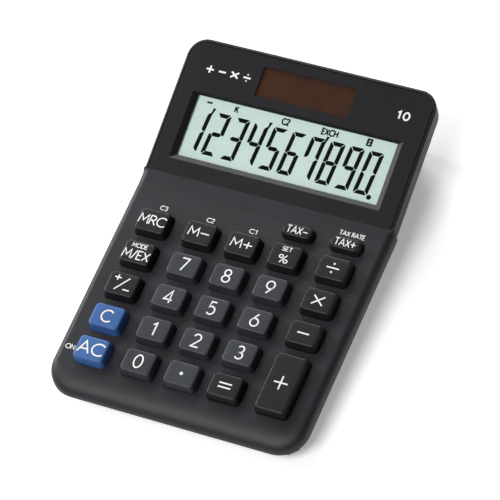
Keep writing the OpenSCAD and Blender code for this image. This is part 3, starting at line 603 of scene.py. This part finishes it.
# Each sign: its width, then its strokes, with the capital height as 1.
SIGNS = {
    "0": (0.62, [bow(0.31, 0.5, 0.31, 0.5, 90, 450, 30)]),
    "1": (0.26, [[(0, 0.80), (0.24, 1), (0.24, 0)]]),
    "2": (0.56, [bow(0.27, 0.73, 0.27, 0.27, 165, -38) + [(0, 0), (0.56, 0)]]),
    "3": (0.56, [bow(0.26, 0.755, 0.235, 0.245, 150, -90) + bow(0.27, 0.255, 0.28, 0.255, 90, -150)]),
    "4": (0.62, [[(0.46, 0), (0.46, 1), (0, 0.26), (0.64, 0.26)]]),
    "5": (0.56, [[(0.50, 1), (0.13, 1), (0.07, 0.56)] + bow(0.26, 0.32, 0.3, 0.32, 128, -140)]),
    "6": (0.60, [[(0.44, 1), (0.06, 0.47)] + bow(0.30, 0.31, 0.30, 0.31, 148, -212, 28)]),
    "7": (0.56, [[(0, 1), (0.56, 1), (0.18, 0)]]),
    "8": (0.58, [bow(0.29, 0.76, 0.235, 0.24, 90, 450, 24), bow(0.29, 0.26, 0.285, 0.26, 90, 450, 26)]),
    "9": (0.60, [[(0.16, 0), (0.54, 0.53)] + bow(0.30, 0.69, 0.30, 0.31, -32, -392, 28)]),
    "A": (0.84, [[(0, 0), (0.42, 1), (0.84, 0)], [(0.15, 0.33), (0.69, 0.33)]]),
    "C": (0.84, [bow(0.5, 0.5, 0.5, 0.5, 45, 315, 26)]),
    "D": (0.76, [[(0, 0), (0, 1), (0.28, 1)] + bow(0.28, 0.5, 0.5, 0.5, 85, -85, 16)
                 + [(0.28, 0), (0, 0)]]),
    "E": (0.52, [[(0.52, 1), (0, 1), (0, 0), (0.52, 0)], [(0, 0.51), (0.46, 0.51)]]),
    "H": (0.66, [[(0, 0), (0, 1)], [(0.66, 0), (0.66, 1)], [(0, 0.51), (0.66, 0.51)]]),
    "K": (0.60, [[(0, 0), (0, 1)], [(0.56, 1), (0, 0.42)], [(0.2, 0.62), (0.6, 0)]]),
    "M": (0.94, [[(0, 0), (0.1, 1), (0.47, 0.3), (0.84, 1), (0.94, 0)]]),
    "N": (0.70, [[(0, 0), (0, 1), (0.70, 0), (0.70, 1)]]),
    "O": (1.00, [bow(0.5, 0.5, 0.5, 0.5, 90, 450, 32)]),
    "R": (0.58, [[(0, 0), (0, 1), (0.28, 1)] + bow(0.28, 0.745, 0.26, 0.255, 85, -85, 12)
                 + [(0.28, 0.49), (0, 0.49)], [(0.26, 0.49), (0.60, 0)]]),
    "S": (0.54, [bow(0.28, 0.75, 0.235, 0.25, 35, 250, 12) + bow(0.26, 0.26, 0.26, 0.26, 70, -150, 14)]),
    "T": (0.66, [[(0, 1), (0.66, 1)], [(0.33, 1), (0.33, 0)]]),
    "X": (0.68, [[(0, 0), (0.68, 1)], [(0, 1), (0.68, 0)]]),
    "/": (0.42, [[(0, -0.06), (0.42, 1.06)]]),
    " ": (0.30, []),
    "+": (0.80, [[(0, 0.48), (0.80, 0.48)], [(0.40, 0.08), (0.40, 0.88)]]),
    "-": (0.80, [[(0, 0.48), (0.80, 0.48)]]),
    "x": (0.62, [[(0, 0.17), (0.62, 0.79)], [(0, 0.79), (0.62, 0.17)]]),
    "d": (0.84, [[(0, 0.5), (0.84, 0.5)], dot(0.42, 0.86, 0.085), dot(0.42, 0.14, 0.085)]),
    "=": (0.80, [[(0, 0.65), (0.80, 0.65)], [(0, 0.35), (0.80, 0.35)]]),
    "%": (0.86, [bow(0.18, 0.77, 0.17, 0.2, 90, 450, 20), bow(0.68, 0.23, 0.17, 0.2, 90, 450, 20),
                 [(0.20, 0), (0.66, 1)]]),
    ".": (0.20, [dot(0.1, 0.48, 0.11)]),
    "s": (1.10, [[(0.16, 0.70), (0.16, 1.12)], [(-0.05, 0.91), (0.37, 0.91)], [(0.20, -0.02), (0.90, 1.02)],
                 [(0.72, 0.10), (1.14, 0.10)]]),
}


def ribbon(bm, points, width, low, high):
    """A flat closed bar along a line of points, mitred at its bends."""
    p = np.array(points, float)
    closed = len(p) > 3 and np.allclose(p[0], p[-1], atol=1e-6)
    if closed:
        p = p[:-1]
    n = len(p)
    left, right = [], []
    for i in range(n):
        before = p[i] - p[i - 1] if (i or closed) else p[1] - p[0]
        after = p[(i + 1) % n] - p[i] if (i < n - 1 or closed) else p[-1] - p[-2]
        a, b = before / np.linalg.norm(before), after / np.linalg.norm(after)
        na, nb = np.array([-a[1], a[0]]), np.array([-b[1], b[0]])
        m = na + nb
        m /= np.linalg.norm(m)
        reach = width / 2 / max(0.45, m @ na)
        left.append(p[i] + m * reach)
        right.append(p[i] - m * reach)
    rows = [[bm.verts.new((q[0], q[1], w)) for q in side] for w in (low, high) for side in (left, right)]
    low_l, low_r, high_l, high_r = rows
    for i in range(n if closed else n - 1):
        j = (i + 1) % n
        bm.faces.new((high_r[i], high_r[j], high_l[j], high_l[i]))
        bm.faces.new((low_l[i], low_l[j], low_r[j], low_r[i]))
        bm.faces.new((low_r[i], low_r[j], high_r[j], high_r[i]))
        bm.faces.new((high_l[i], high_l[j], low_l[j], low_l[i]))
    if not closed:
        bm.faces.new((low_l[0], low_r[0], high_r[0], high_l[0]))
        bm.faces.new((high_l[-1], high_r[-1], low_r[-1], low_l[-1]))


def lettering(bm, text, centre, height, stroke, level, width=None, gap=0.17):
    """Lays out text centred on a point, as thin closed bars whose top is at level."""
    total = sum(SIGNS[c][0] for c in text) + gap * (len(text) - 1)
    size = height - stroke
    stretch = (width - stroke) / (total * size) if width else 1.0
    x = centre[0] - total * size * stretch / 2
    base = centre[1] - size / 2
    for index, c in enumerate(text):
        sign_w, strokes = SIGNS[c]
        lift = 0.002 * index
        for number, s in enumerate(strokes):
            high = level + lift + 0.003 * number
            if s[0] == "dot":
                _, dot_x, dot_y, dot_r = s
                r = dot_r * size
                outline = bow(x + dot_x * size * stretch, base + dot_y * size, r, r, 0, 337.5, 15)
                prism(bm, outline, level - INK_T, high)
            else:
                points = [(x + px * size * stretch, base + py * size) for px, py in s]
                ribbon(bm, points, stroke, level - INK_T, high)
        x += (sign_w + gap) * size * stretch


# ---------------------------------------------------------------- key sheet
DOME_H, DOME_REST, DOME_R, DOME_TOP_R, DOME_ROOF = 1.75, 0.55, 3.6, 2.6, 0.9


def key_sheet():
    """The rubber sheet's flat part, and a dome for each key."""
    rubber = NODE_MATERIALS["rubber_key_sheet"]
    low, high = local_box("rubber_key_sheet", KEYPAD)
    level = high[2] - DOME_H
    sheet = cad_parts["rubber_key_sheet"].copy()
    sheet.name, sheet.data = "key_sheet_flat", sheet.data.copy()
    bpy.context.scene.collection.objects.link(sheet)
    bm = bmesh.new()
    middle = ((low[0] + high[0]) / 2, (low[1] + high[1]) / 2)
    prism(bm, rounded(high[0] - low[0], high[1] - low[1], 1, 1, middle), level, level + 2 * DOME_H)
    cut(sheet, [new_object("dome_cutter", bm, KEYPAD)])
    finish_piece(sheet, rubber, "case", "sheet_rubber", "rubber_key_sheet")

    hollow, thick = DOME_H - DOME_ROOF, level - low[2]
    foot_hole = DOME_R - 0.6 + (DOME_TOP_R - 0.2 - DOME_R) * thick / (thick + hollow)
    turns = np.linspace(0, 2 * math.pi, 49)[:-1]
    profile = [(DOME_TOP_R - 0.8, level + hollow), (foot_hole, level), (DOME_R, level), (DOME_TOP_R, high[2])]
    for node in KEYS:
        x, v = key_measures(node)[0]
        bm = bmesh.new()
        loop_solid(bm, [[(x + r * math.cos(a), v + r * math.sin(a), z) for a in turns] for r, z in profile])
        dome = finish_piece(new_object(node + "_dome", bm, KEYPAD), rubber, "case", "sheet_rubber")
        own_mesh(dome)


# Each key's print: text, height, stroke, width or None, shift to the right, shift up the slope.
DIGIT = (5.7, 0.56)
LEGENDS = {
    "key_mrc": [("MRC", 4.2, 0.46, 11.0, 0, 0.1)], "key_m_minus": [("M-", 4.0, 0.46, 8.6, 0, 0.1)],
    "key_m_plus": [("M+", 4.0, 0.46, 8.8, 0, 0.1)],
    "key_percent": [("SET", 1.9, 0.28, 4.1, 0, 2.6), ("%", 3.7, 0.42, 4.2, 0, -1.5)],
    "key_divide": [("d", 5.4, 0.52, 5.5, 0, 0)],
    "key_m_exchange": [("MODE", 1.9, 0.28, 6.4, 0, 2.6), ("M/EX", 3.9, 0.44, 10.9, 0, -1.2)],
    "key_multiply": [("x", 6.4, 0.54, 4.8, 0, 0.1)], "key_minus": [("-", 5.7, 0.56, 5.2, 0, 0)],
    "key_sign": [("s", 5.9, 0.48, 7.4, 0, 0)], "key_equals": [("=", 6.0, 0.56, 5.6, 0, 0)],
    "key_plus": [("+", 7.4, 0.58, 5.9, 0, 0)],
    "key_clear": [("C", 5.3, 0.56, None, 0, 0)], "key_all_clear": [("AC", 5.3, 0.56, 10.4, 0, 0)],
    "key_point": [(".", 6.4, 0.6, None, 0, 0.1)],
    "key_tax_minus": [("TAX-", 3.2, 0.38, 8.6, 0, 0)], "key_tax_plus": [("TAX+", 3.2, 0.38, 8.6, 0, 0)],
}
for digit in range(10):
    LEGENDS["key_%d" % digit] = [(str(digit), *DIGIT, None, 0, 0)]


def key_legend(node):
    """A key's printed legend, which rides with the key."""
    centre, _, _, top, _ = key_measures(node)
    bm = bmesh.new()
    for text, height, stroke, width, right, up in LEGENDS[node]:
        lettering(bm, text, (centre[0] + right, centre[1] + up), height, stroke, top + 0.015, width)
    obj = new_object(node + "_legend", bm, KEYPAD)
    return finish_piece(obj, CREAM_INK if node in BLUE else WHITE_INK, node, "key_grey")


def case_print(shell):
    """Small words on the keypad, and the marks on the display panel."""
    def key_centre(node):
        return key_measures(node)[0]

    bm = bmesh.new()
    for text, node in (("C3", "key_mrc"), ("C2", "key_m_minus"), ("C1", "key_m_plus")):
        x, v = key_centre(node)
        lettering(bm, text, (x + 0.3, v + 7.9), 2.0, 0.3, 0.02, 3.2)
    x, v = key_centre("key_tax_plus")
    lettering(bm, "TAX RATE", (x, v + 5.2), 2.0, 0.3, 0.02, 10.2)
    x, v = key_centre("key_all_clear")
    lettering(bm, "ON", (x - 9.9, v + 0.2), 2.1, 0.3, 0.02, 3.8)
    words = drape(new_object("keypad_print", bm, KEYPAD), KEYPAD, shell)
    finish_piece(words, WHITE_INK, "case", "key_grey")

    low, high = local_box("display_panel", DISPLAY)
    solar_low, solar_high = local_box("solar_cell", DISPLAY)
    v = (solar_low[1] + solar_high[1]) / 2
    bm = bmesh.new()
    for i, sign in enumerate("+-xd"):
        lettering(bm, sign, (low[0] + 10.4 + 5.1 * i, v), 4.2, 0.66, 0.03, 3.6)
    lettering(bm, "10", (high[0] - 10.2, v + 0.1), 3.5, 0.66, 0.03, 5.3, gap=0.42)
    marks = new_object("panel_print", bm, DISPLAY)
    finish_piece(marks, WHITE_INK, "case", "key_grey")


# ---------------------------------------------------------------- display segments
SEGMENTS = {"0": "abcdef", "1": "bc", "2": "abged", "3": "abgcd", "4": "fgbc", "5": "afgcd", "6": "afgedc",
            "7": "abcf", "8": "abcdefg", "9": "abcfgd"}
DIGIT_H, DIGIT_W, DIGIT_PITCH = 17.0, 5.9, 7.78
SEG_T, SEG_GAP, LEAN = 1.6, 0.1, 0.075
MARK_T = 0.028


def segment_shapes():
    """The seven bars of one upright digit, their ends cut at 45 degrees where two meet."""
    w, h, t, g = DIGIT_W, DIGIT_H, SEG_T, SEG_GAP
    m, c = h / 2, 0.4
    top = [(g + c, h - c * 0.3), (g + 1.6 * c, h), (w - g - 1.6 * c, h), (w - g - c, h - c * 0.3),
           (w - g - t, h - t), (g + t, h - t)]
    upper_left = [(0, h - g - 1.4 * c), (0, m + g + c * 0.6), (c * 0.4, m + g), (t * 0.5, m + g),
                  (t, m + t * 0.5 + g), (t, h - t - g), (c * 0.8, h - g - c * 0.8)]
    lower_left = [(x, h - y) for x, y in reversed(upper_left)]
    middle = [(t * 0.5 + g, m), (t + g, m + t * 0.5), (w - t - g, m + t * 0.5), (w - t * 0.5 - g, m),
              (w - t - g, m - t * 0.5), (t + g, m - t * 0.5)]
    return {"a": top, "d": [(x, h - y) for x, y in reversed(top)], "g": middle,
            "f": upper_left, "e": lower_left,
            "b": [(w - x, y) for x, y in reversed(upper_left)],
            "c": [(w - x, y) for x, y in reversed(lower_left)]}


def lcd_marks():
    """The ten digits, the small signs over them and the point, as thin shapes on the display glass."""
    low, high = local_box("lcd_panel", DISPLAY)
    centre = ((low[0] + high[0]) / 2, (low[1] + high[1]) / 2)
    level = high[2] + 0.03
    base = centre[1] - 9.45
    right = centre[0] + 35.7
    shapes = segment_shapes()
    bm = bmesh.new()

    def flat(outline, x0, y0, lean=LEAN):
        prism(bm, [(x0 + x + lean * y, y0 + y) for x, y in outline], level - MARK_T, level)

    for i, digit in enumerate("0987654321"):
        x0 = right - DIGIT_W - i * DIGIT_PITCH
        for name in SEGMENTS[digit]:
            flat(shapes[name], x0, base)
        if digit in "741":
            wedge = [(0, 0), (0.5, 0), (1.3, 3.3), (0.15, 3.3)]
            flat(wedge, x0 + DIGIT_W + 0.5, base + DIGIT_H - 2.1)
    flat(bow(0, 0, 0.95, 0.95, 0, 345, 23), right + 0.9, base - 0.3, 0)
    flat(rounded(1.2, 0.36, 0.36, 3), centre[0] - 35.7, centre[1] + 10.5, 0)
    for text, x, width in (("K", -24.4, 1.8), ("C2", -4.2, 3.4), ("EXCH", 13.8, 6.8)):
        lettering_flat(bm, text, (centre[0] + x, centre[1] + 10.35), 2.8, 0.58, level, width)
    icon = (centre[0] + 29.8, centre[1] + 10.4)
    flat(rounded(1.15, 1.5, 0.2, 3), *icon, 0)
    obj = new_object("display_digits", bm, DISPLAY)
    finish_piece(obj, BLACK_INK, "case", "lcd_glass")
    bm = bmesh.new()
    lettering_flat(bm, "+", (icon[0], icon[1] + 0.55), 1.5, 0.2, level + 0.008, 1.2)
    lettering_flat(bm, "=", (icon[0], icon[1] - 0.6), 1.5, 0.2, level + 0.008, 1.2)
    obj = new_object("display_icon", bm, DISPLAY)
    finish_piece(obj, NODE_MATERIALS["lcd_panel"], "case", "lcd_glass")


def lettering_flat(bm, text, centre, height, stroke, level, width):
    """Lettering for the display glass, thin enough to lie under the window."""
    before = set(bm.verts)
    lettering(bm, text, centre, height, stroke, level, width)
    for v in bm.verts:
        if v not in before:
            v.co.z = level if v.co.z > level - INK_T / 2 else level - MARK_T


# ---------------------------------------------------------------- build
shell = case_shell()
for key in KEYS:
    keycap(key)
    key_legend(key)
key_sheet()
case_print(shell)
lcd_marks()
for name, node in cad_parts.items():
    if name in NODE_MATERIALS:
        node.data.materials.clear()
        node.data.materials.append(NODE_MATERIALS[name])
        smooth(node, 28, weighted=False)


# ---------------------------------------------------------------- studio
def studio_floor():
    bm = bmesh.new()
    n, half = 24, 6000.0
    grid = [[bm.verts.new((-half + 2 * half * i / n, -half + 2 * half * j / n, 0)) for j in range(n + 1)]
            for i in range(n + 1)]
    for i in range(n):
        for j in range(n):
            bm.faces.new((grid[i][j], grid[i + 1][j], grid[i + 1][j + 1], grid[i][j + 1]))
    floor = new_object("studio_floor", bm)
    s = Shader("studio_paper", rough=0.9, specular=0.1)
    s.colour(s.ramp(s.noise(8, 2), (0.93, 0.93, 0.93), (0.95, 0.95, 0.95)))
    s.bump(s.noise(500, 2), 0.01 * MM)
    s.surface.inputs["Emission Color"].default_value = (1, 1, 1, 1)
    s.surface.inputs["Emission Strength"].default_value = 0.3
    floor.data.materials.append(s.material)


def aim(obj, place, target, roll=0.0):
    """Places a camera or lamp and turns it to look at the target."""
    back = (Vector(place) - Vector(target)).normalized()
    right = Vector((0, 0, 1)).cross(back).normalized()
    up = back.cross(right)
    turned = right * math.cos(roll) + up * math.sin(roll)
    m = Matrix((turned, back.cross(turned), back)).transposed().to_4x4()
    m.translation = place
    obj.matrix_world = m


def area_light(name, place, target, width, height, power, colour=(1, 1, 1)):
    light = bpy.data.lights.new(name, "AREA")
    light.shape = "RECTANGLE"
    light.size, light.size_y, light.energy, light.color = width, height, power, colour
    obj = bpy.data.objects.new(name, light)
    bpy.context.scene.collection.objects.link(obj)
    aim(obj, place, target)


AZIMUTH, ELEVATION, ROLL = math.radians(40.61), math.radians(54.59), math.radians(-20.16)
DISTANCE, LENS = 1.34, 267.8
CENTRE = Vector((0.0072, -0.0067, 0.0245))

studio_floor()
area_light("window_left", (-0.85, 0.15, 0.42), (-0.03, 0, 0.01), 0.5, 0.35, 7.5)
area_light("window_back", (-0.45, 0.95, 0.62), (-0.02, 0, 0.01), 0.6, 0.45, 9.0)
area_light("front_high", (-0.3, -0.7, 1.05), (0, 0, 0.01), 0.8, 0.6, 13.0)

world = bpy.data.worlds.new("studio")
world.use_nodes = True
world.node_tree.nodes["Background"].inputs["Color"].default_value = (1, 1, 1, 1)
world.node_tree.nodes["Background"].inputs["Strength"].default_value = 0.12
bpy.context.scene.world = world
bpy.context.scene.view_settings.view_transform = "Standard"

camera_data = bpy.data.cameras.new("camera")
camera_data.lens = LENS
camera_data.sensor_width = 36
camera_data.clip_end = 20
camera = bpy.data.objects.new("camera", camera_data)
bpy.context.scene.collection.objects.link(camera)
towards = Vector((math.cos(ELEVATION) * math.sin(AZIMUTH), -math.cos(ELEVATION) * math.cos(AZIMUTH),
                  math.sin(ELEVATION)))
aim(camera, CENTRE + towards * DISTANCE, CENTRE, ROLL)
bpy.context.scene.camera = camera
